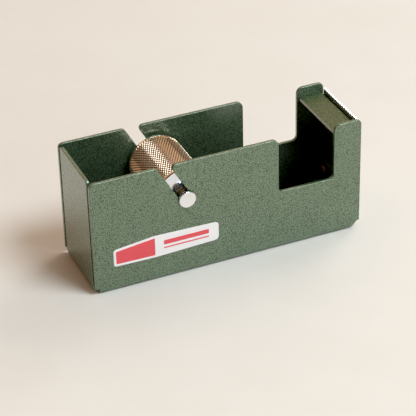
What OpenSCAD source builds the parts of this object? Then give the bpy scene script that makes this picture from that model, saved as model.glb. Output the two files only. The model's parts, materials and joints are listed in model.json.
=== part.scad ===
// Desk tape dispenser: a folded sheet-steel tray with a knurled roller that lifts out of two
// slanted slots, and a toothed blade at the end of a landing plate.
// Inside every module x runs from the tray's left end, y is centred on the tray and z starts at
// the tray's underside. placed() then moves the part to its frame: +X towards the blade, +Z up,
// origin at the centre of the footprint, on the surface that the dispenser stands on.

/* [Tray] */
// Length of the folded tray
tray_l = 123; // [115:1:135]
// Width over the front and back panels
tray_w = 37.5; // [35:0.5:42]
// Height of the panels above the tray's underside
tray_h = 53.5; // [50:0.5:56]
// Thickness of the tray's sheet
sheet_t = 1.5; // [1.2:0.1:1.8]
// Outer radius of the folds
bend_r = 1.7; // [1.6:0.1:2.2]
// Radius of the rounded corners of the panels
corner_r = 2.2; // [1:0.1:2.6]
// Gap between an end panel and the front or back panel
seam = 1.5; // [0.3:0.1:2]
// Height of the short tab at the blade end
tab_h = 17.5; // [14:0.5:20]

/* [Notch] */
// Start of the hand notch, from the tray's left end
notch_from = 84.3; // [78:0.1:90]
// End of the hand notch, from the tray's left end
notch_to = 110.2; // [104:0.1:111]
// Height of the notch's floor
notch_z = 27.7; // [20:0.1:34]

/* [Slots and axle] */
// Axle centre at rest, from the tray's left end
axle_x = 42.1; // [38:0.1:46]
// Axle centre at rest, above the tray's underside
axle_z = 36.2; // [33:0.1:38]
// Slope of the slots, in degrees from level
slot_angle = 60.5; // [55:0.5:70]
// Width of the slots
slot_w = 5; // [4.96:0.02:5.1]
// Diameter of the axle
axle_d = 4.8; // [4.6:0.05:4.8]
// Diameter of the button heads outside the panels
head_d = 7.4; // [7:0.1:9]
// Thickness of the button heads
head_t = 1.2; // [1:0.1:2]
// Play between a head and its panel
head_gap = 0.3; // [0.2:0.1:0.5]

/* [Roller] */
// Diameter of the roller, for a tape core of 25.4 mm
roller_d = 24.6; // [24:0.1:24.8]
// Length of the roller over both end caps
roller_l = 31.1; // [29:0.1:32]
// Width of the smooth rim of each end cap
rim_w = 1.4; // [1:0.1:2]
// Wall of the knurled sleeve
sleeve_wall = 2.3; // [1.5:0.1:3]
// Radial running clearance of the bushings on the axle
running_gap = 0.05; // [0.02:0.01:0.09]

/* [Cutter] */
// Height of the landing plate's top face
landing_z = 49; // [45:0.1:51]
// Thickness of the cutter bracket's sheet
bracket_t = 1; // [0.8:0.1:1.2]
// Thickness of the blade
blade_t = 0.5; // [0.4:0.1:0.6]
// Number of teeth on the blade
teeth = 19; // [15:1:24]
// Height of the teeth
tooth_h = 2.1; // [1.4:0.1:2.4]
// Height of the blade below the teeth
blade_h = 11; // [10:0.5:14]
// Offset of the rivets and blade screws from the centre plane
fixing_y = 11.9; // [9:0.1:13]

/* [Base] */
// Thickness of the rubber sheet under the tray
pad_t = 0.3; // [0.2:0.1:1]
// Thickness of the steel ballast plate on the floor
ballast_t = 3; // [2:0.5:5]

/* [Label] */
// Width of the label on the front panel
label_w = 47.4; // [36:0.1:56]
// Height of the label
label_h = 10.6; // [8:0.1:16]
// Thickness of the label
label_t = 0.12; // [0.1:0.01:0.2]

/* [Hidden] */

$fn = 64;
inner_y = tray_w / 2 - sheet_t;          // inner face of the front and back panels
end_y = inner_y - seam;                  // half width of the end panels
screw_head_t = 1;                        // blade screws stand this far off the blade
total_l = tray_l + blade_t + screw_head_t;
shift_x = -total_l / 2;

relief_left = 2.2;                       // square cut where the folds meet, left end
relief_right = [3.6, 3.2];               // the larger cut at the blade end
mouth_r = 1.7;                           // acute lip of each slot
notch_lip_r = 3;                         // upper corners of the notch

axle_r = axle_d / 2;
head_in_y = tray_w / 2 + head_gap;       // inner face of a button head
spigot_r = 1.3;                          // the axle's ends, held in the heads
spigot_l = 0.8;

roller_r = roller_d / 2;
sleeve_in_r = roller_r - sleeve_wall;
sleeve_l = roller_l - 2 * rim_w;
cap_plug_l = 3;                          // the cap's step inside the sleeve
cap_hub_r = 5.6;
bushing_r = 3.5;
bushing_l = 6;
bushing_inset = 0.3;                     // below the cap's outer face
cap_chamfer = 0.5;

landing_from = notch_to + 0.7;
bracket_r = 1.5;                         // outer radius of the bracket's fold
bracket_y = inner_y - 0.2;
bracket_foot_z = bend_r + 0.6;
rivet_z = 12.4;
rivet_r = 1.5;
rivet_head = [2.3, 0.8];                 // radius and height
blade_y = inner_y - 0.25;
screw_z = landing_z - 6;
screw_r = 1.45;
screw_hole_r = 1.6;
washer = [3.2, 0.5];
nut = [3.17, 2];

ballast = [109, 31];
ballast_x = 6;
ballast_screw_x = [24, 97];
sink_r = 2.8;                            // countersunk head, at the tray's underside

pad = [115, 31.5];
label_x = 32.5;
label_z = 16.5;

// Unit vector and signed angle helpers for the outlines below
function unit(v) = v / norm(v);
function angle_of(v) = atan2(v[1], v[0]);
function half_turn(a) = a > 180 ? a - 360 : a < -180 ? a + 360 : a;

// The arc of radius r that rounds corner p between its neighbours a and b
function arc(a, p, b, r, steps = 8) =
    let (u = unit(a - p), v = unit(b - p), half = acos(u * v) / 2,
         centre = p + unit(u + v) * r / sin(half),
         from = angle_of(p + u * r / tan(half) - centre),
         sweep = half_turn(angle_of(p + v * r / tan(half) - centre) - from))
    [for (i = [0:steps]) centre + r * [cos(from + sweep * i / steps), sin(from + sweep * i / steps)]];

// An outline from corners given as [x, y, radius]
function outline(c) =
    let (n = len(c), at = function(i) [c[(i + n) % n][0], c[(i + n) % n][1]])
    [for (i = [0:n - 1]) each (c[i][2] > 0 ? arc(at(i - 1), at(i), at(i + 1), c[i][2]) : [at(i)])];

function box_corners(x0, x1, z0, z1, low_r, high_r) =
    [[x0, z0, low_r], [x0, z1, high_r], [x1, z1, high_r], [x1, z0, low_r]];

// Edge of the slot on side -1 (left, lower) or 1 (right, upper), at height z
function slot_edge(side, z) =
    axle_x + side * slot_w / 2 / sin(slot_angle) - (z - axle_z) / tan(slot_angle);
// Where the slot's edge meets its round end
function slot_foot(side) =
    [axle_x, axle_z] + side * slot_w / 2 * [sin(slot_angle), cos(slot_angle)];

module placed() {
    translate([shift_x, 0, pad_t]) children();
}

// A shape drawn in x and z, extruded along y between the two planes
module along_y(from, to) {
    translate([0, to, 0]) rotate([90, 0, 0]) linear_extrude(to - from) children();
}

// A shape drawn in y and z, extruded along x between the two planes
module along_x(from, to) {
    translate([from, 0, 0]) rotate([90, 0, 90]) linear_extrude(to - from) children();
}

// A round shape on the axle's line, drawn as radius and distance along +y
module on_axle() {
    translate([axle_x, 0, axle_z]) rotate([-90, 0, 0]) rotate_extrude($fn = 96) children();
}

module plate(x0, x1, half_w, z0, z1, r) {
    translate([0, 0, z0]) linear_extrude(z1 - z0)
        polygon(outline(box_corners(x0, x1, -half_w, half_w, r, r)));
}

// A straight pin along +x
module pin_x(x0, x1, r, y, z) {
    translate([x0, y, z]) rotate([0, 90, 0]) cylinder(h = x1 - x0, r = r, $fn = 40);
}

module panel_outline() {
    polygon(outline([
        [0, 0, 0],
        [0, tray_h, corner_r],
        [slot_edge(-1, tray_h), tray_h, corner_r],
        [slot_foot(-1)[0], slot_foot(-1)[1], 0],
        [slot_foot(1)[0], slot_foot(1)[1], 0],
        [slot_edge(1, tray_h), tray_h, mouth_r],
        [notch_from, tray_h, notch_lip_r],
        [notch_from, notch_z, corner_r],
        [notch_to, notch_z, corner_r],
        [notch_to, tray_h, notch_lip_r],
        [tray_l, tray_h, corner_r],
        [tray_l, 0, 0]
    ]));
}

// Front panel, floor and back panel as one folded channel
module channel() {
    difference() {
        intersection() {
            along_x(0, tray_l) difference() {
                polygon(outline(box_corners(-tray_w / 2, tray_w / 2, 0, tray_h, bend_r, 0)));
                polygon(outline(box_corners(-inner_y, inner_y, sheet_t, tray_h + 1, bend_r - sheet_t, 0)));
            }
            along_y(-tray_w, tray_w) panel_outline();
        }
        along_y(-tray_w, tray_w) translate([-1, -1]) square([relief_left + 1, relief_left + 1]);
        along_y(-tray_w, tray_w) polygon([
            [tray_l + 1, -1], [tray_l + 1, relief_right[1]], [tray_l - 1, relief_right[1]],
            [tray_l - relief_right[0], 0.6], [tray_l - relief_right[0], -1]
        ]);
    }
}

// Left end panel, floor and the tab at the blade end, folded the other way
module ends() {
    tab_x = tray_l - bracket_t;
    intersection() {
        along_y(-end_y, end_y) polygon(outline([
            [0, tray_h, 0],
            [0, 0, bend_r],
            [tab_x, 0, bend_r],
            [tab_x, tab_h, 0],
            [tab_x - sheet_t, tab_h, 0],
            [tab_x - sheet_t, sheet_t, bend_r - sheet_t],
            [sheet_t, sheet_t, bend_r - sheet_t],
            [sheet_t, tray_h, 0]
        ]));
        along_x(-1, tray_l) polygon(outline(box_corners(-end_y, end_y, -1, tray_h, 0, 1.5)));
    }
}

module tray() {
    color("#5f7359") placed() difference() {
        union() {
            channel();
            ends();
        }
        translate([axle_x, tray_w, axle_z]) rotate([90, 0, 0]) cylinder(h = 2 * tray_w, r = slot_w / 2);
        for (x = ballast_screw_x) translate([x, 0, 0]) {
            translate([0, 0, -1]) cylinder(h = sheet_t + 2, r = screw_hole_r);
            translate([0, 0, -0.01]) cylinder(h = sheet_t, r1 = sink_r, r2 = screw_hole_r);
        }
        for (side = [-1, 1]) pin_x(tray_l - 4, tray_l, rivet_r, side * fixing_y, rivet_z);
    }
}

module cutter_bracket() {
    color("#62664a") placed() difference() {
        intersection() {
            along_y(-bracket_y, bracket_y) polygon(outline([
                [landing_from, landing_z, 0],
                [tray_l, landing_z, bracket_r],
                [tray_l, bracket_foot_z, 0],
                [tray_l - bracket_t, bracket_foot_z, 0],
                [tray_l - bracket_t, landing_z - bracket_t, bracket_r - bracket_t],
                [landing_from, landing_z - bracket_t, 0]
            ]));
            union() {
                plate(landing_from, tray_l + 2, bracket_y, landing_z - 2, landing_z + 1, 1.6);
                plate(tray_l - 2, tray_l + 1, bracket_y, 0, landing_z, 0);
            }
        }
        for (side = [-1, 1]) {
            pin_x(tray_l - 4, tray_l + 1, rivet_r, side * fixing_y, rivet_z);
            pin_x(tray_l - 4, tray_l + 1, screw_hole_r, side * fixing_y, screw_z);
        }
    }
}

module rivet_dome() {
    rotate_extrude($fn = 40) intersection() {
        translate([0, rivet_head[1] - rivet_head[0] * 1.8]) circle(r = rivet_head[0] * 1.8, $fn = 96);
        square([rivet_head[0], rivet_head[1]]);
    }
}

module bracket_rivets() {
    inner_x = tray_l - bracket_t - sheet_t;
    color("#b87a5e") placed() for (side = [-1, 1]) {
        pin_x(inner_x, tray_l, rivet_r, side * fixing_y, rivet_z);
        translate([tray_l, side * fixing_y, rivet_z]) rotate([0, 90, 0]) rivet_dome();
        translate([inner_x, side * fixing_y, rivet_z]) rotate([0, -90, 0]) rivet_dome();
    }
}

// Blade outline in y and z: a plain strip with a row of pointed teeth on its upper edge
module blade_outline() {
    root = landing_z + 0.4;
    pitch = 2 * blade_y / teeth;
    polygon(concat(
        [[blade_y, root - blade_h], [-blade_y, root - blade_h]],
        [for (i = [0:teeth - 1]) each [
            [-blade_y + i * pitch, root],
            [-blade_y + (i + 0.5) * pitch, root + tooth_h]
        ]],
        [[blade_y, root]]
    ));
}

module blade() {
    color("#c9ccce") placed() difference() {
        along_x(tray_l, tray_l + blade_t) blade_outline();
        for (side = [-1, 1]) pin_x(tray_l - 1, tray_l + 2, screw_hole_r, side * fixing_y, screw_z);
    }
}

module blade_screws() {
    head_x = tray_l + blade_t;
    shank_x = tray_l - bracket_t - washer[1] - nut[1] - 0.6;
    color("#b9bcc0") placed() for (side = [-1, 1]) difference() {
        union() {
            pin_x(shank_x, head_x, screw_r, side * fixing_y, screw_z);
            translate([head_x, side * fixing_y, screw_z]) rotate([0, 90, 0]) rotate_extrude($fn = 48)
                polygon(outline([[0, 0, 0], [0, screw_head_t, 0], [2.75, screw_head_t, 0.6], [2.75, 0, 0]]));
        }
        translate([head_x + 0.5, side * fixing_y - 3, screw_z - 0.35]) cube([1, 6, 0.7]);
    }
}

module blade_washers() {
    x = tray_l - bracket_t;
    color("#c2c5c8") placed() for (side = [-1, 1]) difference() {
        pin_x(x - washer[1], x, washer[0], side * fixing_y, screw_z);
        pin_x(x - 2, x + 1, screw_hole_r, side * fixing_y, screw_z);
    }
}

module blade_nuts() {
    x = tray_l - bracket_t - washer[1];
    color("#aeb1b4") placed() for (side = [-1, 1]) difference() {
        translate([x - nut[1], side * fixing_y, screw_z]) rotate([0, 90, 0])
            cylinder(h = nut[1], r = nut[0], $fn = 6);
        pin_x(x - 4, x + 1, screw_r + 0.03, side * fixing_y, screw_z);
    }
}

module ballast_plate() {
    color("#3c3d3b") placed() difference() {
        plate(ballast_x, ballast_x + ballast[0], ballast[1] / 2, sheet_t, sheet_t + ballast_t, 3);
        for (x = ballast_screw_x) translate([x, 0, 0]) cylinder(h = 10, r = screw_r + 0.03);
    }
}

module ballast_screws() {
    color("#8d9093") placed() for (x = ballast_screw_x) translate([x, 0, 0]) {
        cylinder(h = sheet_t, r1 = sink_r - 0.06, r2 = screw_r);
        translate([0, 0, sheet_t]) cylinder(h = ballast_t - 0.2, r = screw_r);
    }
}

module base_pad() {
    color("#2b2b2a") placed()
        plate((tray_l - pad[0]) / 2, (tray_l + pad[0]) / 2, pad[1] / 2, -pad_t, 0, 3);
}

module label() {
    color("#e9dfde") placed() along_y(-tray_w / 2 - label_t, -tray_w / 2)
        polygon(outline(box_corners(label_x - label_w / 2, label_x + label_w / 2,
                                    label_z - label_h / 2, label_z + label_h / 2, 2.4, 2.4)));
}

module axle_shaft() {
    color("#a9acae") placed() on_axle() polygon([
        [0, -head_in_y - spigot_l], [spigot_r, -head_in_y - spigot_l], [spigot_r, -head_in_y],
        [axle_r, -head_in_y], [axle_r, head_in_y], [spigot_r, head_in_y],
        [spigot_r, head_in_y + spigot_l], [0, head_in_y + spigot_l]
    ]);
}

// Button head for the axle's end on side -1 (front) or 1 (back)
module axle_head(side) {
    color("#dfe2e4") placed() on_axle() scale([1, side]) translate([0, head_in_y]) difference() {
        polygon(outline([[0, 0, 0], [0, head_t, 0], [head_d / 2, head_t, 0.25], [head_d / 2, 0, 0.15]]));
        translate([-1, -1]) square([spigot_r + 1, spigot_l + 1]);
    }
}

module axle_head_front() {
    axle_head(-1);
}

module axle_head_back() {
    axle_head(1);
}

module roller_sleeve() {
    color("#c9a883") placed() on_axle()
        translate([sleeve_in_r, -sleeve_l / 2]) square([sleeve_wall, sleeve_l]);
}

// End cap on side -1 (front) or 1 (back): a polished flange, a plug in the sleeve and a hub
module roller_cap(side) {
    plug_end = sleeve_l / 2 - cap_plug_l;
    hub_end = roller_l / 2 - bushing_inset - bushing_l;
    color("#dcdedf") placed() on_axle() scale([1, side]) polygon([
        [bushing_r, roller_l / 2], [roller_r - cap_chamfer, roller_l / 2],
        [roller_r, roller_l / 2 - cap_chamfer], [roller_r, sleeve_l / 2],
        [sleeve_in_r, sleeve_l / 2], [sleeve_in_r, plug_end],
        [cap_hub_r, plug_end], [cap_hub_r, hub_end], [bushing_r, hub_end]
    ]);
}

module roller_cap_front() {
    roller_cap(-1);
}

module roller_cap_back() {
    roller_cap(1);
}

// Plain bearing in the hub of the cap on side -1 (front) or 1 (back)
module roller_bushing(side) {
    bore_r = axle_r + running_gap;
    color("#b08d4f") placed() on_axle() scale([1, side])
        translate([bore_r, roller_l / 2 - bushing_inset - bushing_l])
            square([bushing_r - bore_r, bushing_l]);
}

module roller_bushing_front() {
    roller_bushing(-1);
}

module roller_bushing_back() {
    roller_bushing(1);
}

tray();
cutter_bracket();
bracket_rivets();
blade();
blade_screws();
blade_washers();
blade_nuts();
ballast_plate();
ballast_screws();
base_pad();
label();
axle_shaft();
axle_head_front();
axle_head_back();
roller_sleeve();
roller_cap_front();
roller_cap_back();
roller_bushing_front();
roller_bushing_back();
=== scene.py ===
"""Desk tape dispenser: the looks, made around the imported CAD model.

Shapes are drawn in millimetres, because Blender's bevels and cuts work best at that size, and
piece() turns them into metres. Inside a builder, x runs from the tray's left end and z from the
tray's underside, and at() gives the place in the frame of the CAD.
"""

import json
import math

import bmesh
import bpy
from mathutils import Matrix, Vector
from mathutils.geometry import delaunay_2d_cdt


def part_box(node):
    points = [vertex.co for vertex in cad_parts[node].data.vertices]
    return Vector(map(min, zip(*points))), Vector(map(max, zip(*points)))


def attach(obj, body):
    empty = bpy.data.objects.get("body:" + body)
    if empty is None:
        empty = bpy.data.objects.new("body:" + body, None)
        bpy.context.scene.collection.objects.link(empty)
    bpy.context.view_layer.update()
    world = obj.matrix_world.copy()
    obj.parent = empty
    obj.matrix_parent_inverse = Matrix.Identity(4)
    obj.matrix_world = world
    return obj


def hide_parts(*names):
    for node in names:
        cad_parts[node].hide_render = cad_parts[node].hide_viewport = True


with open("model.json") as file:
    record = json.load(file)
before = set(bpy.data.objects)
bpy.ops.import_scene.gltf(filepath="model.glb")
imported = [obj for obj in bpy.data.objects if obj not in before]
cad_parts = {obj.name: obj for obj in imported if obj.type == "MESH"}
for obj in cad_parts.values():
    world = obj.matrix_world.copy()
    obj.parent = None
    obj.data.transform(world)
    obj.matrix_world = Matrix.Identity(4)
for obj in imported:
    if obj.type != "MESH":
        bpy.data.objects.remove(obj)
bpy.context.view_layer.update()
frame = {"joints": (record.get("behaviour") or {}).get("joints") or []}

MM = 0.001
TINY = 1e-4


# ---------------------------------------------------------------- sizes from the frame

def box_mm(node):
    """Lowest and highest corner of a CAD node, in millimetres."""
    low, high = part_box(node)
    return low / MM, high / MM


TRAY = box_mm("tray")
LEFT = TRAY[0].x
UNDERSIDE = TRAY[0].z
TRAY_L = TRAY[1].x - TRAY[0].x
TRAY_H = TRAY[1].z - TRAY[0].z
HALF_W = TRAY[1].y

SHEET_T = 1.5
BEND_R = 1.7
BEND_STEPS = 6
CORNER_R = 2.2
MOUTH_R = 1.7
LIP_R = 3.0
SEAM = 1.5
END_HALF = HALF_W - SHEET_T - SEAM     # half width of the end panel and the tab
END_CORNER_R = 1.5
TAB_H = 17.5
RELIEF_LEFT = 2.2
RELIEF_RIGHT = (3.6, 3.2)
RELIEF_STEP = 1.0
RELIEF_FOOT = 0.6
NOTCH = (84.3, 110.2, 27.7)     # from, to, height of its floor
SLOT_W = 5.0
HOLE_R = 1.6
SINK_R = 2.8
RIVET_HOLE_R = 1.5

BRACKET_T = 1.0
BRACKET_R = 1.5
FIT_GAP = 0.02                  # room between a pin and the hole it sits in

AXLE = box_mm("axle_shaft")
AXLE_AT = (AXLE[0] + AXLE[1]) / 2
AXLE_R = (AXLE[1].x - AXLE[0].x) / 2
AXLE_MIDDLE = Vector((AXLE_AT.x, 0, AXLE_AT.z))
SPIGOT_R = 1.3
SPIGOT_L = 0.8
LIFT = next(j for j in frame["joints"] if j["name"] == "axle_lift")["axis"]
SLOT_ANGLE = math.atan2(LIFT[2], -LIFT[0])

SLEEVE = box_mm("roller_sleeve")
ROLLER_R = (SLEEVE[1].x - SLEEVE[0].x) / 2
SLEEVE_HALF = SLEEVE[1].y
SLEEVE_BORE_R = ROLLER_R - 2.3
KNURL_STARTS = 64
KNURL_PERIOD = 2.1
KNURL_DEPTH = 0.38
KNURL_FLAT = 0.3

WASHERS = box_mm("blade_washers")
SCREW_Z = (WASHERS[0].z + WASHERS[1].z) / 2
BLADE_BOX = box_mm("blade")
TEETH = 19
TOOTH_H = 2.1
TOOTH_PITCH = (BLADE_BOX[1].y - BLADE_BOX[0].y) / TEETH

RIVET_Y = 11.9
RIVET_Z = 12.4
THREAD_DEPTH = 0.28
THREAD_PITCH = 0.5
BALLAST_SCREW_X = (24.0, 97.0)
BALLAST_HOLE_R = 1.5
BASE_CORNER_R = 3.0

# The photo's camera: lengths in millimetres, angles in degrees.
CAMERA_AIM = Vector((0.04, 6.67, 11.6))
CAMERA_DISTANCE = 795.1
CAMERA_AZIMUTH = -22.814
CAMERA_ELEVATION = 32.43
CAMERA_ROLL = -1.489
CAMERA_LENS = 158.49


def at(x, y, z):
    """A point given from the tray's left end and underside, in the frame of the CAD."""
    return Vector((LEFT + x, y, UNDERSIDE + z))


# ---------------------------------------------------------------- outlines

def rounded(corners, steps=8):
    """Points of a closed outline whose corners are (x, y, radius)."""
    points = []
    count = len(corners)
    for i, (x, y, radius) in enumerate(corners):
        corner = Vector((x, y))
        if radius == 0:
            points.append(corner)
            continue
        before = (Vector(corners[i - 1][:2]) - corner).normalized()
        after = (Vector(corners[(i + 1) % count][:2]) - corner).normalized()
        half = before.angle(after) / 2
        centre = corner + (before + after).normalized() * radius / math.sin(half)
        first = corner + before * radius / math.tan(half) - centre
        last = corner + after * radius / math.tan(half) - centre
        sweep = math.remainder(math.atan2(last.y, last.x) - math.atan2(first.y, first.x), math.tau)
        for k in range(steps + 1):
            points.append(centre + Matrix.Rotation(sweep * k / steps, 2) @ first)
    return points


def rectangle(x0, x1, y0, y1, radius):
    return rounded([(x0, y0, radius), (x1, y0, radius), (x1, y1, radius), (x0, y1, radius)])


def circle(x, y, radius, count=40):
    angles = [math.tau * i / count for i in range(count)]
    return [Vector((x + radius * math.cos(a), y + radius * math.sin(a))) for a in angles]


# ---------------------------------------------------------------- mesh builders

def flat_sheet(loops):
    """A flat mesh of an outline and the holes in it."""
    points = []
    edges = []
    for loop in loops:
        first = len(points)
        points += loop
        edges += [(first + i, first + (i + 1) % len(loop)) for i in range(len(loop))]
    filled = delaunay_2d_cdt(points, edges, [], 5, 1e-6)
    bm = bmesh.new()
    corners = [bm.verts.new((p.x, p.y, 0)) for p in filled[0]]
    for face in filled[2]:
        bm.faces.new([corners[i] for i in face])
    return bm


def cut_across(bm, faces, axis, place):
    """Cuts the given faces of a flat mesh along the line where axis (0 or 1) is place."""
    normal = Vector((0, 0, 0))
    normal[axis] = 1
    parts = set(faces)
    for face in faces:
        parts.update(face.edges)
        parts.update(face.verts)
    bmesh.ops.bisect_plane(bm, geom=list(parts), dist=TINY, plane_co=normal * place, plane_no=normal)


def thicken(flat, place, depths):
    """The solid between a flat mesh's layers: place(x, y, depth) gives each layer's points."""
    flat.verts.index_update()
    solid = bmesh.new()
    layers = [[solid.verts.new(place(v.co.x, v.co.y, depth)) for v in flat.verts] for depth in depths]
    for face in flat.faces:
        corners = [v.index for v in face.verts]
        solid.faces.new([layers[0][i] for i in corners])
        solid.faces.new([layers[-1][i] for i in reversed(corners)])
    for edge in flat.edges:
        if not edge.is_boundary:
            continue
        a, b = (v.index for v in edge.verts)
        for upper, lower in zip(layers, layers[1:]):
            solid.faces.new([upper[a], upper[b], lower[b], lower[a]])
    loose = [v for v in solid.verts if not v.link_faces]
    bmesh.ops.delete(solid, geom=loose, context="VERTS")
    bmesh.ops.recalc_face_normals(solid, faces=solid.faces)
    flat.free()
    return solid


def turned(profile, centre, direction, segments=96):
    """A turned solid: profile is a closed list of (radius, distance along direction)."""
    bm = bmesh.new()
    rings = []
    for radius, along in profile:
        if radius < TINY:
            rings.append([bm.verts.new((0, 0, along))] * segments)
            continue
        angles = [math.tau * i / segments for i in range(segments)]
        ring = [(radius * math.cos(a), radius * math.sin(a), along) for a in angles]
        rings.append([bm.verts.new(corner) for corner in ring])
    for ring, following in zip(rings, rings[1:] + rings[:1]):
        for i in range(segments):
            j = (i + 1) % segments
            corners = list(dict.fromkeys([ring[i], ring[j], following[j], following[i]]))
            if len(corners) > 2:
                bm.faces.new(corners)
    bmesh.ops.recalc_face_normals(bm, faces=bm.faces)
    turn = Vector(direction).to_track_quat("Z", "Y").to_matrix().to_4x4()
    bm.transform(Matrix.Translation(centre) @ turn)
    return bm


def add_object(name, data):
    """A new object in the scene."""
    made = bpy.data.objects.new(name, data)
    bpy.context.scene.collection.objects.link(made)
    return made


def scratch(name, bm):
    """A mesh object in millimetres, for use in modifiers only."""
    mesh = bpy.data.meshes.new(name)
    bm.to_mesh(mesh)
    bm.free()
    return add_object(name, mesh)


def piece(name, bm, body, material, stands_for=(), bevel=0.0, cuts=(), angle=38.0):
    """Applies cuts and a bevel to a mesh in millimetres and makes it a piece in metres.

    cuts is a list of (operation, bmesh) for the Boolean modifier, and stands_for the CAD nodes
    that the piece replaces. Edges sharper than angle are bevelled and shaded sharp.
    """
    raw = scratch("raw_" + name, bm)
    tools = []
    for operation, tool in cuts:
        tools.append(scratch("tool_" + name, tool))
        modifier = raw.modifiers.new("cut", "BOOLEAN")
        modifier.operation = operation
        modifier.solver = "EXACT"
        modifier.object = tools[-1]
    if bevel:
        modifier = raw.modifiers.new("edges", "BEVEL")
        modifier.width = bevel
        modifier.segments = 3
        modifier.limit_method = "ANGLE"
        modifier.angle_limit = math.radians(angle)
        modifier.use_clamp_overlap = False
        modifier.miter_outer = "MITER_ARC"
    graph = bpy.context.evaluated_depsgraph_get()
    mesh = bpy.data.meshes.new_from_object(raw.evaluated_get(graph), depsgraph=graph)
    for temporary in [raw, *tools]:
        bpy.data.objects.remove(temporary)
    mesh.name = name
    mesh.transform(Matrix.Scale(MM, 4))
    mesh.polygons.foreach_set("use_smooth", [True] * len(mesh.polygons))
    mesh.set_sharp_from_angle(angle=math.radians(angle))
    mesh.materials.clear()
    mesh.materials.append(material)
    made = add_object(name, mesh)
    normals = made.modifiers.new("normals", "WEIGHTED_NORMAL")
    normals.keep_sharp = True
    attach(made, body)
    if stands_for:
        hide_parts(*stands_for)


# ---------------------------------------------------------------- materials

def fill_ramp(ramp, stops):
    """Gives a colour ramp its stops of (position, colour)."""
    while len(ramp.elements) < len(stops):
        ramp.elements.new(0.5)
    for element, (position, colour) in zip(ramp.elements, stops):
        element.position = position
        element.color = (*colour, 1)


class Shader:
    """A material under construction: add() makes a node and joins or sets its inputs."""

    def __init__(self, name):
        self.material = bpy.data.materials.new(name)
        self.material.use_nodes = True
        self.tree = self.material.node_tree
        self.tree.nodes.clear()
        self.output = self.tree.nodes.new("ShaderNodeOutputMaterial")
        self.place = self.add("TexCoord").outputs["Object"]

    def add(self, kind, inputs=None, **settings):
        made = self.tree.nodes.new("ShaderNode" + kind)
        for name, value in settings.items():
            setattr(made, name, value)
        for name, value in (inputs or {}).items():
            if isinstance(value, bpy.types.NodeSocket):
                self.tree.links.new(value, made.inputs[name])
            else:
                made.inputs[name].default_value = value
        return made

    def calc(self, operation, *values):
        """What a Math node makes of the values."""
        return self.add("Math", dict(enumerate(values)), operation=operation).outputs[0]

    def vector(self, operation, *values):
        """What a Vector Math node makes of the vectors."""
        return self.add("VectorMath", dict(enumerate(values)), operation=operation).outputs[0]

    def along(self, axis):
        """The object's own coordinate X, Y or Z, in metres."""
        return self.add("SeparateXYZ", {"Vector": self.place}).outputs[axis]

    def from_axle(self):
        """Distance from the axle's middle line, in millimetres."""
        off = self.vector("SUBTRACT", self.place, AXLE_AT * MM)
        flat = self.vector("MULTIPLY", off, (1 / MM, 0, 1 / MM))
        return self.add("VectorMath", {0: flat}, operation="LENGTH").outputs["Value"]

    def stretched(self, scale=(1, 1, 1)):
        """The object's own coordinates in millimetres, times scale along each axis."""
        factors = [s / MM for s in scale]
        return self.add("Mapping", {"Vector": self.place, "Scale": factors}).outputs["Vector"]

    def noise(self, scale, detail, roughness=0.55, stretch=(1, 1, 1)):
        """Noise with about scale cells to the millimetre."""
        inputs = {"Vector": self.stretched(stretch), "Scale": scale}
        inputs.update({"Detail": detail, "Roughness": roughness})
        return self.add("TexNoise", inputs).outputs["Fac"]

    def ramp(self, value, stops):
        """A colour ramp with stops of (position, colour)."""
        made = self.add("ValToRGB", {"Fac": value})
        fill_ramp(made.color_ramp, stops)
        return made.outputs["Color"]

    def spread(self, value, low, high, start=0.0, end=1.0):
        """A value mapped from start..end to low..high."""
        inputs = {"Value": value, "From Min": start, "From Max": end, "To Min": low, "To Max": high}
        return self.add("MapRange", inputs).outputs["Result"]

    def mix(self, factor, a, b):
        """Colour a where factor is 0, and b where it is 1."""
        made = self.add("Mix", data_type="RGBA")
        for socket, value in zip((made.inputs[0], made.inputs[6], made.inputs[7]), (factor, a, b)):
            if isinstance(value, bpy.types.NodeSocket):
                self.tree.links.new(value, socket)
            else:
                socket.default_value = value if isinstance(value, float) else (*value, 1)
        return made.outputs[2]

    def bump(self, height, distance_mm, strength):
        inputs = {"Height": height, "Distance": distance_mm * MM, "Strength": strength}
        return self.add("Bump", inputs).outputs["Normal"]

    def finish(self, **inputs):
        """The material, from the inputs of its Principled BSDF."""
        named = {key.replace("_", " "): value for key, value in inputs.items()}
        shader = self.add("BsdfPrincipled", named)
        self.tree.links.new(shader.outputs["BSDF"], self.output.inputs["Surface"])
        return self.material


NOISE_RANGE = (0.3, 0.7)         # a noise texture seldom leaves it
CELLS_PER_MM = 2.3               # of the enamel's mottle
CELL_WARP = 0.3
GRAIN_PER_MM = 2.9
GRAIN_SHARE = 0.18
FLAKE_RANGE = (0.30, 0.55)       # where the mottle's relief passes from light to dark
GREY_EDGE_W = 0.3                     # how far in from its edge the colour turns steel grey
EDGE_GREY = (0.36, 0.345, 0.325)

TURNING_WAVE = 22.0              # radians of the turning marks' wave for each millimetre of radius
RIM_REFLECTION_RANGE = (0.4, 0.2)           # depth under the roller's radius where the painted warm reflection on the caps' chamfer starts
# painted shade: a dark colour laid into the valleys between the blade's teeth
VALLEY_SHADE = (0.030, 0.029, 0.027)
VALLEY_SHADE_HALF_W = (0.10, 0.20)       # the painted shade fades at this share of the pitch from a valley's middle
VALLEY_SHADE_FOOT = (-0.5, -0.3)         # the painted shade starts at this height over the teeth's root
VALLEY_SHADE_TOP = (0.5, 0.9)            # and ends here


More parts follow.
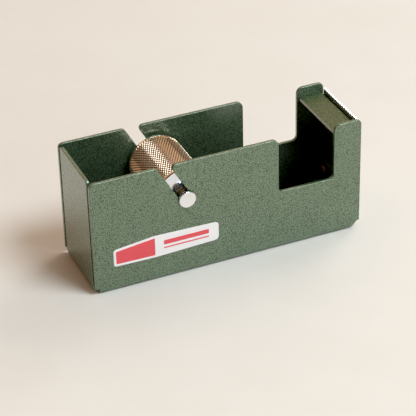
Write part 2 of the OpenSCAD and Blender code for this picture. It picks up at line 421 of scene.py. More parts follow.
def hammertone(name, dark, light, metallic, coat, grey_edge_from=None):
    """Stove enamel with leafing flake: fine dimples, mottled colour, half gloss.

    The last argument is the x of an edge along which the colour turns patchy steel grey.
    """
    s = Shader(name)
    warp = s.calc("MULTIPLY", s.noise(1.2, 2.0), CELL_WARP)
    cells = s.add("TexVoronoi", {
        "Vector": s.vector("ADD", s.stretched(), warp),
        "Scale": CELLS_PER_MM,
        "Smoothness": 0.1,
        "Randomness": 0.75,
    }, feature="SMOOTH_F1").outputs["Distance"]
    grain = s.noise(GRAIN_PER_MM, 2.0, 0.6)
    relief = s.mix(GRAIN_SHARE, cells, grain)
    flake = s.spread(relief, 1.0, 0.0, *FLAKE_RANGE)
    colour = s.ramp(flake, [(0.0, dark), (1.0, light)])
    cloud = s.noise(0.06, 2.0)
    colour = s.mix(s.spread(cloud, 0.0, 0.08), colour, light)
    # a patchy steel-grey band along the given edge
    if grey_edge_from is not None:
        grey_until, painted = (grey_edge_from + GREY_EDGE_W / 2) * MM, (grey_edge_from + GREY_EDGE_W) * MM
        at_grey_edge = s.spread(s.along("X"), 1.0, 0.0, grey_until, painted)
        patchy = s.calc("MULTIPLY", at_grey_edge, s.spread(grain, 0.55, 1.0, 0.3, 0.5))
        colour = s.mix(patchy, colour, EDGE_GREY)
    return s.finish(
        Base_Color=colour,
        Metallic=metallic,
        Roughness=s.spread(grain, 0.34, 0.5, *NOISE_RANGE),
        IOR=1.6,
        Coat_Weight=coat,
        Coat_Roughness=0.12,
        Coat_IOR=1.75,
        Normal=s.bump(relief, 0.12, 0.8),
        Coat_Normal=s.bump(relief, 0.06, 0.4),
    )


def painted_valley_shade(s):
    """1 in the valleys between the blade's teeth, where shade is painted in, and 0 elsewhere."""
    across = s.calc("SUBTRACT", s.along("Y"), BLADE_BOX[0].y * MM)
    pitches = s.calc("MULTIPLY", across, 1 / (TOOTH_PITCH * MM))
    valley = s.spread(s.calc("PINGPONG", pitches, 0.5), 1.0, 0.0, *VALLEY_SHADE_HALF_W)
    root = BLADE_BOX[1].z - TOOTH_H
    height = s.along("Z")
    under = s.spread(height, 0.0, 1.0, *[(root + rise) * MM for rise in VALLEY_SHADE_FOOT])
    over = s.spread(height, 1.0, 0.0, *[(root + rise) * MM for rise in VALLEY_SHADE_TOP])
    return s.calc("MULTIPLY", valley, s.calc("MULTIPLY", under, over))


def metal(
    name, colour, tint, rough, grain_stretch=(1, 1, 1), grain=2.0, depth_mm=0.004,
    lathe=False, rim=None, valley_shade=False,
):
    """Bare or plated metal with fine grain.

    lathe gives it turning marks round the axle, rim a painted warm reflection at the roller's radius,
    and the last flag painted shade in the valleys between the blade's teeth.
    """
    s = Shader(name)
    fine = s.noise(grain, 4.0, 0.6, grain_stretch)
    stain = s.noise(0.35, 3.0)
    height = fine
    plating = s.mix(s.spread(stain, 0.0, 0.6, 0.35, 0.75), colour, tint)
    if lathe:
        radius = s.from_axle()
        height = s.calc("SINE", s.calc("ADD", s.calc("MULTIPLY", radius, TURNING_WAVE), fine))
        # painted reflection: a warm colour on the chamfer at the roller's radius
        if rim is not None:
            at_rim_reflection = s.spread(radius, 0.0, 1.0, *[ROLLER_R - depth for depth in RIM_REFLECTION_RANGE])
            plating = s.mix(at_rim_reflection, plating, rim)
    # painted shade in the valleys between the blade's teeth
    if valley_shade:
        plating = s.mix(painted_valley_shade(s), plating, VALLEY_SHADE)
    return s.finish(
        Base_Color=plating,
        Metallic=1.0,
        Roughness=s.spread(fine, *rough, *NOISE_RANGE),
        Normal=s.bump(height, depth_mm, 0.35),
    )


def knurled_metal(name):
    """Warm plated steel, worn bright on the crests, with painted shade in the grooves of the knurl."""
    s = Shader(name)
    worn_crest_shaded_groove = s.spread(s.from_axle(), 0.0, 1.0, ROLLER_R - KNURL_DEPTH, ROLLER_R)
    fine = s.noise(3.0, 4.0, 0.6)
    patch = s.noise(0.22, 2.0, stretch=(1, 0.6, 1))
    plating = s.mix(s.spread(patch, 0.0, 1.0, 0.35, 0.65), (0.96, 0.85, 0.72), (0.93, 0.88, 0.82))
    # painted shade: the dark colour in the knurl's grooves
    colour = s.mix(worn_crest_shaded_groove, (0.38, 0.275, 0.19), plating)
    return s.finish(
        Base_Color=colour,
        Metallic=1.0,
        Roughness=s.spread(fine, 0.14, 0.26, *NOISE_RANGE),
        Normal=s.bump(fine, 0.01, 0.3),
    )


def dull(name, dark, light, rough, scale, depth_mm, specular=0.5, sheen=0.0):
    """Rubber, phosphated steel and printed film: a mottled surface without metallic gloss."""
    s = Shader(name)
    fine = s.noise(scale, 4.0, 0.6)
    broad = s.noise(scale / 12, 2.0)
    both = s.mix(0.35, fine, broad)
    return s.finish(
        Base_Color=s.ramp(both, [(0.3, dark), (0.7, light)]),
        Roughness=s.spread(fine, *rough, *NOISE_RANGE),
        Specular_IOR_Level=specular,
        Sheen_Weight=sheen,
        Normal=s.bump(fine, depth_mm, 0.5),
    )


HAMMER = hammertone("hammer_green", (0.046, 0.078, 0.032), (0.248, 0.370, 0.236), 0.6, 0.8)
# The bracket is the tray's green enamel; its olive colours paint in the warm light its upward faces
# reflect.
WARM_LIT_GREEN = hammertone(
    "bracket_green_painted_warm_light", (0.012, 0.024, 0.005), (0.156, 0.224, 0.055), 0.3, 0.35,
    grey_edge_from=box_mm("cutter_bracket")[0].x,
)
TURNED = metal(
    "cap_polish", (0.90, 0.92, 0.95), (0.84, 0.85, 0.87), (0.05, 0.11), depth_mm=0.0015, lathe=True,
)
# the caps carry a painted warm reflection on their chamfer
PLATED = metal(
    "cap_nickel", (0.84, 0.87, 0.92), (0.76, 0.79, 0.83), (0.10, 0.18), depth_mm=0.0015, lathe=True,
    rim=(0.94, 0.80, 0.63),
)
GROUND = metal("axle_ground", (0.80, 0.80, 0.80), (0.70, 0.69, 0.68), (0.10, 0.20), (1, 0.2, 1), 3.0)
# the blade's tooth valleys get painted shade
BLADE = metal(
    "blade_nickel", (0.80, 0.81, 0.82), (0.66, 0.66, 0.66), (0.20, 0.32), (1, 4, 0.3), valley_shade=True,
)
ZINC = metal("zinc_plate", (0.70, 0.71, 0.73), (0.58, 0.58, 0.52), (0.26, 0.42), grain=1.6)
COPPER = metal(
    "rivet_copper", (0.78, 0.46, 0.35), (0.45, 0.25, 0.18), (0.28, 0.45), grain=1.6, depth_mm=0.01,
)
BRONZE = metal(
    "bush_bronze", (0.55, 0.40, 0.20), (0.34, 0.23, 0.11), (0.30, 0.50), grain=5.0, depth_mm=0.02,
)
KNURLED = knurled_metal("knurl_nickel")
PHOSPHATE = dull(
    "ballast_phosphate", (0.010, 0.010, 0.009), (0.034, 0.033, 0.030), (0.45, 0.7), 2.2, 0.02,
)
RUBBER = dull(
    "pad_rubber", (0.012, 0.012, 0.012), (0.035, 0.034, 0.033), (0.75, 0.95), 3.0, 0.05,
    specular=0.3, sheen=0.15,
)
FILM = dull("label_white", (0.90, 0.85, 0.86), (0.96, 0.92, 0.93), (0.28, 0.42), 3.0, 0.004)
PRINT = dull("label_red", (0.78, 0.07, 0.09), (0.86, 0.10, 0.12), (0.30, 0.45), 3.0, 0.004)


# ---------------------------------------------------------------- the tray

BEND_ARC = BEND_R * math.pi / 2
ROOT_HALF = HALF_W - BEND_R               # the floor ends here and the folds start
ROOT_LEFT = BEND_R
ROOT_RIGHT = box_mm("cutter_bracket")[1].x - LEFT - BRACKET_T - BEND_R


def unrolled(z, root):
    """Distance in the flat pattern of a wall's point at height z, for a fold that starts at root."""
    if z < BEND_R:
        return root + BEND_R * math.acos(1 - z / BEND_R)
    return root + BEND_ARC + z - BEND_R


def folded(past, radius, depth):
    """(outwards, upwards) of a point of the flat pattern that lies past the start of a fold."""
    turn = min(past / radius, math.pi / 2)
    rise = max(0.0, past - radius * math.pi / 2)
    return (radius - depth) * math.sin(turn), radius - (radius - depth) * math.cos(turn) + rise


def slot_edge(side, z):
    """x of the slot's edge on side -1 (left) or 1 (right) at height z."""
    axle_x, axle_z = AXLE_AT.x - LEFT, AXLE_AT.z - UNDERSIDE
    return axle_x + side * SLOT_W / 2 / math.sin(SLOT_ANGLE) - (z - axle_z) / math.tan(SLOT_ANGLE)


def panel_edge():
    """Edge of a long panel from its left foot over the top to its right foot, in x and height.

    The slanted slot is open at the top, and its round end lies under the axle.
    """
    axle = Vector((AXLE_AT.x - LEFT, AXLE_AT.z - UNDERSIDE))
    left_foot = axle - Vector((math.sin(SLOT_ANGLE), math.cos(SLOT_ANGLE))) * SLOT_W / 2
    right_foot = axle * 2 - left_foot
    notch_from, notch_to, notch_z = NOTCH
    relief_x = TRAY_L - RELIEF_RIGHT[0]
    relief_z = RELIEF_RIGHT[1]
    left_part = rounded([
        (RELIEF_LEFT, 0, 0),
        (RELIEF_LEFT, RELIEF_LEFT, 0),
        (0, RELIEF_LEFT, 0),
        (0, TRAY_H, CORNER_R),
        (slot_edge(-1, TRAY_H), TRAY_H, CORNER_R),
        (*left_foot, 0),
    ])
    steps = 16
    round_end = [
        axle + Matrix.Rotation(math.pi * i / steps, 2) @ (left_foot - axle) for i in range(1, steps)
    ]
    right_part = rounded([
        (*right_foot, 0),
        (slot_edge(1, TRAY_H), TRAY_H, MOUTH_R),
        (notch_from, TRAY_H, LIP_R),
        (notch_from, notch_z, CORNER_R),
        (notch_to, notch_z, CORNER_R),
        (notch_to, TRAY_H, LIP_R),
        (TRAY_L, TRAY_H, CORNER_R),
        (TRAY_L, relief_z, 0),
    ])
    slant_from = Vector((TRAY_L - RELIEF_STEP, relief_z))
    slant_to = Vector((relief_x, RELIEF_FOOT))
    slant = [slant_from.lerp(slant_to, i / BEND_STEPS) for i in range(BEND_STEPS + 1)]
    return left_part + round_end + right_part + slant + [Vector((relief_x, 0))]


def tray_pattern():
    """The tray's flat pattern: front panel, short tab, back panel, left end, and the holes."""
    edge = panel_edge()
    front = [Vector((p.x, -unrolled(p.y, ROOT_HALF))) for p in edge]
    back = [Vector((p.x, -p.y)) for p in reversed(front)]
    tab_end = ROOT_RIGHT + BEND_ARC + TAB_H - BEND_R
    left_end = ROOT_LEFT - BEND_ARC - (TRAY_H - BEND_R)
    tab_from = front[-1].x
    tab = [
        Vector((tab_from, -END_HALF)), Vector((tab_end, -END_HALF)),
        Vector((tab_end, END_HALF)), Vector((tab_from, END_HALF)),
    ]
    left = rounded([
        (RELIEF_LEFT, END_HALF, 0),
        (left_end, END_HALF, END_CORNER_R),
        (left_end, -END_HALF, END_CORNER_R),
        (RELIEF_LEFT, -END_HALF, 0),
    ])
    outline = front + tab + back + left
    rivet_x = ROOT_RIGHT + BEND_ARC + RIVET_Z - BEND_R
    holes = [circle(x, 0, HOLE_R) for x in BALLAST_SCREW_X]
    holes += [circle(rivet_x, side * RIVET_Y, RIVET_HOLE_R) for side in (-1, 1)]
    return outline, holes


def tray_point(x, across, depth):
    """Folds a point of the flat pattern up; depth is measured inwards from the outer surface."""
    if abs(across) > ROOT_HALF + TINY:
        out, up = folded(abs(across) - ROOT_HALF, BEND_R, depth)
        return at(x, math.copysign(ROOT_HALF + out, across), up)
    if x < ROOT_LEFT:
        out, up = folded(ROOT_LEFT - x, BEND_R, depth)
        return at(ROOT_LEFT - out, across, up)
    if x > ROOT_RIGHT:
        out, up = folded(x - ROOT_RIGHT, BEND_R, depth)
        return at(ROOT_RIGHT + out, across, up)
    for screw_x in BALLAST_SCREW_X:
        off = Vector((x - screw_x, across))
        if depth == 0 and off.length < HOLE_R + TINY:
            off *= SINK_R / HOLE_R
            return at(screw_x + off.x, off.y, 0)
    return at(x, across, depth)


def make_tray():
    """The tray, cut across at every step of its folds and then folded up."""
    outline, holes = tray_pattern()
    bm = flat_sheet([outline, *holes])
    steps = [BEND_ARC * k / BEND_STEPS for k in range(BEND_STEPS + 1)]
    for side in (-1, 1):
        for step in steps:
            cut_across(bm, bm.faces[:], 1, side * (ROOT_HALF + step))
    for root, way in ((ROOT_LEFT, -1), (ROOT_RIGHT, 1)):
        for step in steps:
            middle = [f for f in bm.faces if abs(f.calc_center_median().y) < ROOT_HALF]
            cut_across(bm, middle, 0, root + way * step)
    solid = thicken(bm, tray_point, (0, SHEET_T))
    piece("tray_shell", solid, "housing", HAMMER, ["tray"], bevel=0.22)


# ---------------------------------------------------------------- the cutter

def make_bracket():
    """The landing plate and the upright behind it, folded from one sheet."""
    low, high = box_mm("cutter_bracket")
    half_w = high.y
    corner_r = 1.6
    root = high.x - LEFT - BRACKET_R
    arc = BRACKET_R * math.pi / 2
    top = high.z - UNDERSIDE

    def point(x, across, depth):
        if x <= root:
            return at(x, across, top - depth)
        out, down = folded(x - root, BRACKET_R, depth)
        return at(root + out, across, top - down)

    def unrolled_height(z):
        return root + arc + (top - z) - BRACKET_R

    foot = unrolled_height(low.z - UNDERSIDE)
    outline = rounded([
        (low.x - LEFT, -half_w, corner_r),
        (foot, -half_w, 0),
        (foot, half_w, 0),
        (low.x - LEFT, half_w, corner_r),
    ])
    holes = [circle(unrolled_height(RIVET_Z), side * RIVET_Y, RIVET_HOLE_R) for side in (-1, 1)]
    screw_x = unrolled_height(SCREW_Z - UNDERSIDE)
    holes += [circle(screw_x, side * RIVET_Y, HOLE_R) for side in (-1, 1)]
    bm = flat_sheet([outline, *holes])
    for k in range(BEND_STEPS + 1):
        cut_across(bm, bm.faces[:], 0, root + arc * k / BEND_STEPS)
    solid = thicken(bm, point, (0, BRACKET_T))
    # the olive tint of this enamel is painted warm light
    piece(
        "landing_bracket", solid, "housing", WARM_LIT_GREEN, ["cutter_bracket"], bevel=0.16
    )


def make_rivets():
    """Solid rivets with a dome at both ends."""
    low, high = box_mm("bracket_rivets")
    length = high.x - low.x
    dome_r = (high.z - low.z) / 2
    dome_t = 0.8
    lip = 0.22
    shank_r = RIVET_HOLE_R - FIT_GAP
    steps = 10
    dome = [
        (dome_r * math.cos(a), lip + (dome_t - lip) * math.sin(a))
        for a in [math.pi / 2 * i / steps for i in range(steps)]
    ]
    near = [(0, 0)] + [(r, dome_t - h) for r, h in reversed(dome)]
    near += [(dome_r, dome_t), (shank_r, dome_t)]
    far = [(shank_r, length - dome_t), (dome_r, length - dome_t)]
    far += [(r, length - dome_t + h) for r, h in dome] + [(0, length)]
    for side, name in ((-1, "rivet_front"), (1, "rivet_back")):
        centre = Vector((low.x, side * RIVET_Y, UNDERSIDE + RIVET_Z))
        bm = turned(near + far, centre, (1, 0, 0), 48)
        piece(name, bm, "housing", COPPER, ["bracket_rivets"])


def make_blade():
    """The toothed strip: pointed tips over narrow valleys, with the tips ground on the outside."""
    low, high = BLADE_BOX
    grind = 0.3
    shoulder = 0.3
    root = high.z - TOOTH_H
    pitch = TOOTH_PITCH
    outline = [Vector((high.y, low.z)), Vector((low.y, low.z))]
    for i in range(TEETH):
        start = low.y + i * pitch
        outline.append(Vector((start, root)))
        outline.append(Vector((start + shoulder, high.z - pitch / 2 + shoulder)))
        outline.append(Vector((start + pitch / 2, high.z)))
        outline.append(Vector((start + pitch - shoulder, high.z - pitch / 2 + shoulder)))
    outline.append(Vector((high.y, root)))
    holes = [circle(side * RIVET_Y, SCREW_Z, HOLE_R) for side in (-1, 1)]
    thickness = high.x - low.x
    edge_depth = thickness * 0.6

    def point(across, height, depth):
        ground = grind if height > root + TINY and depth > edge_depth + TINY else 0
        return Vector((low.x + depth, across, height - ground))

    solid = thicken(flat_sheet([outline, *holes]), point, (0, edge_depth, thickness))
    piece("blade_strip", solid, "housing", BLADE, ["blade"], angle=20)


def threaded(radius, start, end):
    """Profile of a threaded shank as rings of the thread's pitch, from start to end."""
    count = max(1, round((end - start) / THREAD_PITCH))
    step = (end - start) / count
    points = []
    for i in range(count):
        points.append((radius - THREAD_DEPTH, start + i * step))
        points.append((radius, start + (i + 0.4) * step))
        points.append((radius, start + (i + 0.6) * step))
    return points + [(radius - THREAD_DEPTH, end)]


def box_tool(low, high):
    """A box to cut with."""
    bm = bmesh.new()
    size = Matrix.Diagonal((*(high - low), 1))
    bmesh.ops.create_cube(bm, size=1.0, matrix=Matrix.Translation((low + high) / 2) @ size)
    return bm


def make_blade_screws():
    """Slotted screws with rounded heads; they stop short of the CAD box by a hair."""
    low, high = box_mm("blade_screws")
    hair = 0.002
    shank_r = 1.45
    head_r = (high.z - low.z) / 2
    head_t = 1.0
    length = high.x - low.x - hair
    head_from = length - head_t
    slot_half_w = 0.35
    slot_depth = 0.5
    head = rounded([
        (0, length + hair / 2, 0), (head_r, length, 0.62),
        (head_r, head_from, 0.1), (1.3, head_from, 0),
    ])
    profile = [(0, 0), (0.9, 0)] + threaded(shank_r, 0.25, head_from - 0.2)
    profile += [tuple(p) for p in reversed(head)]
    profile[-1] = (0, length)
    for side, name, turn in ((-1, "blade_screw_front", 24), (1, "blade_screw_back", -50)):
        centre = Vector((low.x, side * RIVET_Y, (low.z + high.z) / 2))
        slot = box_tool(
            Vector((high.x - slot_depth, centre.y - 4, centre.z - slot_half_w)),
            Vector((high.x + 1, centre.y + 4, centre.z + slot_half_w)),
        )
        spin = Matrix.Translation(centre) @ Matrix.Rotation(math.radians(turn), 4, "X")
        slot.transform(spin @ Matrix.Translation(-centre))
        bm = turned(profile, centre, (1, 0, 0), 64)
        piece(
            name, bm, "housing", ZINC, ["blade_screws"],
            bevel=0.05, cuts=[("DIFFERENCE", slot)], angle=50,
        )


def make_washers():
    low, high = WASHERS
    radius = (high.z - low.z) / 2
    thickness = high.x - low.x
    profile = rounded([
        (HOLE_R, 0, 0.08), (radius, 0, 0.14), (radius, thickness, 0.14), (HOLE_R, thickness, 0.08),
    ], 4)
    for side, name in ((-1, "washer_front"), (1, "washer_back")):
        bm = turned(profile, Vector((low.x, side * RIVET_Y, SCREW_Z)), (1, 0, 0), 64)
        piece(name, bm, "housing", ZINC, ["blade_washers"])


def make_nuts():
    """Hexagon nuts: a prism cut down to a body with chamfered crowns, with a threaded bore."""
    low, high = box_mm("blade_nuts")
    thickness = high.x - low.x
    corner_r = 3.17
    crown_r = 2.62
    crown_t = 0.36
    past = 0.001
    bore_r = 1.5
    mouth_r = 1.7
    hexagon = [(0, 0), (corner_r, 0), (corner_r, thickness), (0, thickness)]
    body = [
        (0, -past), (crown_r, -past), (corner_r + 0.1, crown_t),
        (corner_r + 0.1, thickness - crown_t), (crown_r, thickness + past), (0, thickness + past),
    ]
    thread = [(0, -1), (mouth_r, -1), (mouth_r, 0)] + threaded(bore_r, 0.15, thickness - 0.15)
    thread += [(mouth_r, thickness), (mouth_r, thickness + 1), (0, thickness + 1)]
    for side, name in ((-1, "nut_front"), (1, "nut_back")):
        centre = Vector((low.x, side * RIVET_Y, (low.z + high.z) / 2))
        prism = turned(hexagon, centre, (1, 0, 0), 6)
        crowned = turned(body, centre, (1, 0, 0), 96)
        bore = turned(thread, centre, (1, 0, 0), 48)
        cuts = [("INTERSECT", crowned), ("DIFFERENCE", bore)]
        piece(name, prism, "housing", ZINC, ["blade_nuts"], cuts=cuts, angle=25)


# ---------------------------------------------------------------- the base

def slab(node, corner_r, holes=()):
    """A flat plate with rounded corners that fills a CAD node's box."""
    low, high = box_mm(node)
    flat = flat_sheet([rectangle(low.x, high.x, low.y, high.y, corner_r), *holes])
    return thicken(flat, lambda x, y, depth: Vector((x, y, high.z - depth)), (0, high.z - low.z))


def make_ballast():
    """The slab on the tray's floor, with holes for its two screws."""
    holes = [circle(LEFT + x, 0, BALLAST_HOLE_R) for x in BALLAST_SCREW_X]
    solid = slab("ballast_plate", BASE_CORNER_R, holes)
    piece("ballast_slab", solid, "housing", PHOSPHATE, ["ballast_plate"], bevel=0.35)


def make_ballast_screws():
    """Countersunk slotted screws, whose heads lie flush in the floor's underside."""
    low, high = box_mm("ballast_screws")
    length = high.z - low.z
    shank_r = 1.45
    head_r = SINK_R - 0.06
    slot_half_w = 0.4
    slot_depth = 0.7
    profile = [(0, 0), (head_r - 0.1, 0), (head_r, 0.08), (shank_r, SHEET_T)]
    profile += threaded(shank_r, SHEET_T + 0.1, length - 0.3) + [(1.0, length), (0, length)]
    for x, name in zip(BALLAST_SCREW_X, ("ballast_screw_left", "ballast_screw_right")):
        centre = Vector((LEFT + x, 0, low.z))
        slot_low, slot_high = Vector((-4, -slot_half_w, -1)), Vector((4, slot_half_w, slot_depth))
        cuts = [("DIFFERENCE", box_tool(centre + slot_low, centre + slot_high))]
        bm = turned(profile, centre, (0, 0, 1), 64)
        piece(name, bm, "housing", ZINC, ["ballast_screws"], cuts=cuts, angle=50)


def make_pad():
    solid = slab("base_pad", BASE_CORNER_R)
    piece("rubber_pad", solid, "housing", RUBBER, ["base_pad"], bevel=0.2)


def make_label():
    """The film, and a plain generic print of one block and two rules, each a thin layer of ink.

    The film is highest at the end of the block and gets lower towards both of its ends.
    """
    low, high = box_mm("label")
    ink = 0.03
    margin = 1.1
    left_low, left_high = low.z + 0.4, high.z - 2.0
    right_low, right_high = low.z + 1.0, high.z - 0.8
    block_to = low.x + (high.x - low.x) * 0.39
    rule_from = block_to + 4.0
    rule_to = high.x - 4.5
    middle = (low.z + high.z) / 2

    def layer(name, outline, back, front, material, stands_for=(), bevel=0.0):
        def point(x, z, depth):
            return Vector((x, back - depth, z))

        solid = thicken(flat_sheet([outline]), point, (0, back - front))
        piece(name, solid, "housing", material, stands_for, bevel=bevel)

    film = rounded([
        (low.x, left_low, 1.2), (block_to, low.z, 0), (high.x, right_low, 1.8),
        (high.x, right_high, 1.8), (block_to, high.z, 0), (low.x, left_high, 1.4),
    ])
    layer("label_film", film, high.y, low.y + ink, FILM, ["label"], 0.03)
    block = rounded([
        (low.x + margin, left_low + margin, 0.4), (block_to, low.z + margin, 0.3),
        (block_to, high.z - margin, 0.3), (low.x + margin, left_high - margin, 0.4),
    ])
    layer("label_block", block, low.y + ink, low.y, PRINT)
    rules = (("label_rule_upper", -0.1, 2.0), ("label_rule_lower", -1.9, -1.3))
    for name, bottom, top in rules:
        rule = rectangle(rule_from, rule_to, middle + bottom, middle + top, 0.25)
        layer(name, rule, low.y + ink, low.y, PRINT)


# ---------------------------------------------------------------- axle and roller

def make_axle_pin():
    """The ground pin, with a thin spigot at each end for its button."""
    half = AXLE[1].y
    shoulder = half - SPIGOT_L
    profile = rounded([
        (0, -half, 0), (SPIGOT_R, -half, 0.1), (SPIGOT_R, -shoulder, 0),
        (AXLE_R, -shoulder, 0.12), (AXLE_R, shoulder, 0.12),
        (SPIGOT_R, shoulder, 0), (SPIGOT_R, half, 0.1), (0, half, 0),
    ], 4)
    bm = turned(profile, AXLE_MIDDLE, (0, 1, 0), 96)
    piece("axle_pin", bm, "axle", GROUND, ["axle_shaft"])


def make_axle_buttons():
    """The buttons pressed on the pin's ends: a flat face, a little lower inside its rim."""
    bore_r = SPIGOT_R + FIT_GAP
    bore_end = SPIGOT_L + FIT_GAP
    dip = 0.04
    sides = (("axle_head_front", "axle_button_front", -1), ("axle_head_back", "axle_button_back", 1))
    for node, name, way in sides:
        low, high = box_mm(node)
        radius = (high.x - low.x) / 2
        thickness = high.y - low.y
        inner = low.y if way > 0 else high.y
        profile = rounded([
            (0, thickness - dip, 0), (radius - 0.75, thickness - dip, 0),
            (radius - 0.6, thickness, 0.1), (radius, thickness, 0.22), (radius, 0, 0.15),
            (bore_r, 0, 0.05), (bore_r, bore_end, 0), (0, bore_end, 0),
        ], 5)
        bm = turned(profile, Vector((AXLE_AT.x, inner, AXLE_AT.z)), (0, way, 0), 96)
        piece(name, bm, "axle", TURNED, [node])


def make_sleeve():
    """The knurled sleeve: two crossed rows of V grooves leave a field of flat-topped pyramids."""
    bm = bmesh.new()
    half_step = math.pi / KNURL_STARTS
    half_period = KNURL_PERIOD / 2
    reach = math.ceil(SLEEVE_HALF / half_period) + 2
    groove_r = ROLLER_R - KNURL_DEPTH
    cache = {}

    def lattice(s, d):
        """The groove crossing at half steps s round and d along."""
        key = (s % (2 * KNURL_STARTS), d)
        if key not in cache:
            cache[key] = bm.verts.new(on_roller(key[0], d, groove_r))
        return cache[key]

    def on_roller(s, d, radius):
        angle = s * half_step
        return Vector((radius * math.sin(angle), d * half_period, radius * math.cos(angle)))

    for d in range(-reach, reach + 1):
        for s in range(2 * KNURL_STARTS):
            if (s + d) % 2:
                continue
            ring = [(s - 1, d), (s, d + 1), (s + 1, d), (s, d - 1)]
            base = [lattice(*corner) for corner in ring]
            top = [
                bm.verts.new(on_roller(s + (a - s) * KNURL_FLAT, d + (b - d) * KNURL_FLAT, ROLLER_R))
                for a, b in ring
            ]
            bm.faces.new(top)
            for i in range(4):
                j = (i + 1) % 4
                bm.faces.new([base[i], base[j], top[j], top[i]])
    for side in (-1, 1):
        bmesh.ops.bisect_plane(
            bm, geom=bm.verts[:] + bm.edges[:] + bm.faces[:], dist=TINY,
            plane_co=(0, side * SLEEVE_HALF, 0), plane_no=(0, side, 0), clear_outer=True,
        )
    bores = []
    for side in (-1, 1):
        rim = [v for v in bm.verts if v.is_boundary and v.co.y * side > 0]
        rim.sort(key=lambda v: math.atan2(v.co.x, v.co.z))
        bore = []
        for v in rim:
            angle = math.atan2(v.co.x, v.co.z)
            x, z = SLEEVE_BORE_R * math.sin(angle), SLEEVE_BORE_R * math.cos(angle)
            bore.append(bm.verts.new((x, v.co.y, z)))
        for i in range(len(rim)):
            j = (i + 1) % len(rim)
            bm.faces.new([rim[i], rim[j], bore[j], bore[i]])
        bores.append(bore)
    for i in range(len(bores[0])):
        j = (i + 1) % len(bores[0])
        bm.faces.new([bores[0][i], bores[0][j], bores[1][j], bores[1][i]])
    bmesh.ops.recalc_face_normals(bm, faces=bm.faces)
    bm.transform(Matrix.Translation(AXLE_MIDDLE))
    piece("knurled_sleeve", bm, "roller", KNURLED, ["roller_sleeve"], angle=12)


def outer_and_inner(low, high):
    """How far a box's outer and inner ends lie from the middle plane of the width."""
    ends = abs(low.y), abs(high.y)
    return max(ends), min(ends)


def make_caps():
    """The end caps pressed into the sleeve, each with a bushing in its bore."""
    plug_r = SLEEVE_BORE_R - 0.01
    plug_end = SLEEVE_HALF - 3
    hub_r = 5.6
    chamfer = 0.42
    bore_r = AXLE_R + 0.05
    for side, way in (("front", -1), ("back", 1)):
        cap, bushing = "roller_cap_" + side, "roller_bushing_" + side
        low, high = box_mm(cap)
        face, hub_end = outer_and_inner(low, high)
        low, high = box_mm(bushing)
        seat_r = (high.x - low.x) / 2
        profile = rounded([
            (seat_r, face, 0.18), (ROLLER_R - chamfer, face, 0.25), (ROLLER_R, face - chamfer, 0.25),
            (ROLLER_R, SLEEVE_HALF, 0.06), (plug_r, SLEEVE_HALF, 0), (plug_r, plug_end, 0.2),
            (hub_r, plug_end, 0.4), (hub_r, hub_end, 0.2), (seat_r, hub_end, 0.1),
        ], 5)
        bm = turned(profile, AXLE_MIDDLE, (0, way, 0), 128)
        piece("cap_" + side, bm, "roller", PLATED, [cap])
        outer, inner = outer_and_inner(low, high)
        bush_r = seat_r - 0.01
        profile = rounded([
            (bore_r, outer, 0.15), (bush_r, outer, 0.1), (bush_r, inner, 0.1), (bore_r, inner, 0.15),
        ], 4)
        bm = turned(profile, AXLE_MIDDLE, (0, way, 0), 96)
        piece("bush_" + side, bm, "roller", BRONZE, [bushing])


make_tray()
make_bracket()
make_rivets()
make_blade()
make_blade_screws()
make_washers()
make_nuts()
make_ballast()
make_ballast_screws()
make_pad()
make_label()
make_axle_pin()
make_axle_buttons()
make_sleeve()
make_caps()


# ---------------------------------------------------------------- floor, light and camera

def make_floor():
    """A plain pale floor, which isn't part of the object."""
    bm = bmesh.new()
    bmesh.ops.create_grid(bm, x_segments=8, y_segments=8, size=3.0)
    mesh = bpy.data.meshes.new("floor")
    bm.to_mesh(mesh)
    bm.free()
    s = Shader("floor_pale")
    cloud = s.noise(0.03, 3.0)
    colour = s.ramp(cloud, [(0.3, (0.765, 0.728, 0.680)), (0.7, (0.785, 0.752, 0.706))])
    mesh.materials.append(s.finish(Base_Color=colour, Roughness=0.75, Specular_IOR_Level=0.25))
    add_object("floor", mesh)


def direction(azimuth, elevation):
    """Unit vector towards a place round the object: azimuth 0 is -Y, the front, and 90 is +X."""
    a, e = math.radians(azimuth), math.radians(elevation)
    return Vector((math.sin(a) * math.cos(e), -math.cos(a) * math.cos(e), math.sin(e)))


def make_light(name, azimuth, elevation, distance, size, power, colour):
    """A soft elliptical lamp that shines at the object's foot; distance and size are in metres."""
    data = bpy.data.lights.new(name, "AREA")
    data.shape = "ELLIPSE"
    data.size, data.size_y = size
    data.energy = power
    data.color = colour
    light = add_object(name, data)
    back = direction(azimuth, elevation)
    light.location = back * distance
    light.rotation_euler = back.to_track_quat("Z", "Y").to_euler()


FIRST_STOP_AT = -0.3             # cosine of the angle from the bright side at the first stop


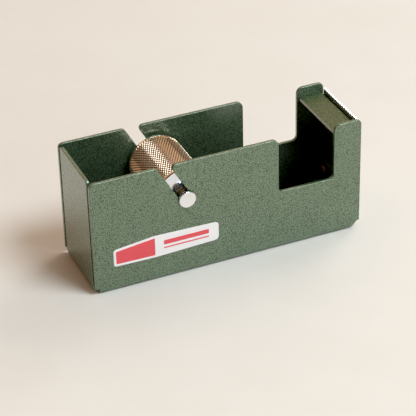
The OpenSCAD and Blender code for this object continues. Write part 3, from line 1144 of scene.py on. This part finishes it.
def make_world(stops, bright_side):
    """A soft surround whose colour follows the stops (position, colour) towards bright_side."""
    world = bpy.data.worlds.new("studio")
    world.use_nodes = True
    tree = world.node_tree
    place = tree.nodes.new("ShaderNodeTexCoord")
    facing = tree.nodes.new("ShaderNodeVectorMath")
    facing.operation = "DOT_PRODUCT"
    facing.inputs[1].default_value = bright_side
    share = tree.nodes.new("ShaderNodeMapRange")
    share.inputs["From Min"].default_value = FIRST_STOP_AT
    share.inputs["From Max"].default_value = 1.0
    ramp = tree.nodes.new("ShaderNodeValToRGB")
    fill_ramp(ramp.color_ramp, stops)
    tree.links.new(place.outputs["Generated"], facing.inputs[0])
    tree.links.new(facing.outputs["Value"], share.inputs["Value"])
    tree.links.new(share.outputs["Result"], ramp.inputs["Fac"])
    tree.links.new(ramp.outputs["Color"], tree.nodes["Background"].inputs["Color"])
    bpy.context.scene.world = world


def make_camera():
    """The camera at the photo's viewing angle."""
    data = bpy.data.cameras.new("camera")
    data.lens = CAMERA_LENS
    data.sensor_width = 36
    data.clip_start = 0.01
    data.clip_end = 20
    camera = add_object("camera", data)
    back = direction(CAMERA_AZIMUTH, CAMERA_ELEVATION)
    level = back.to_track_quat("Z", "Y").to_matrix()
    roll = Matrix.Rotation(math.radians(CAMERA_ROLL), 3, "Z")
    place = Matrix.Translation((CAMERA_AIM + back * CAMERA_DISTANCE) * MM)
    camera.matrix_world = place @ (level @ roll).to_4x4()
    bpy.context.scene.camera = camera


make_floor()
make_world([
    (0.0, (0.10, 0.055, 0.03)),
    (0.45, (0.30, 0.17, 0.095)),
    (1.0, (0.80, 0.62, 0.46)),
], direction(150, 14))
make_light("key", 38, 56, 2.0, (0.95, 0.95), 33.8, (0.80, 0.915, 0.97))
make_light("front", 12, 22, 1.6, (1.0, 0.7), 5.5, (0.80, 0.93, 0.98))
make_light("rim", 118, 40, 1.5, (0.8, 0.8), 5.6, (1.0, 0.97, 0.94))
make_light("warm", -108, 50, 1.5, (1.0, 1.0), 1.3, (1.0, 0.66, 0.42))
make_camera()
view = bpy.context.scene.view_settings
view.view_transform = "Standard"
view.use_curve_mapping = True
view.curve_mapping.black_level = (0.004, 0.004, 0.004)
view.curve_mapping.update()
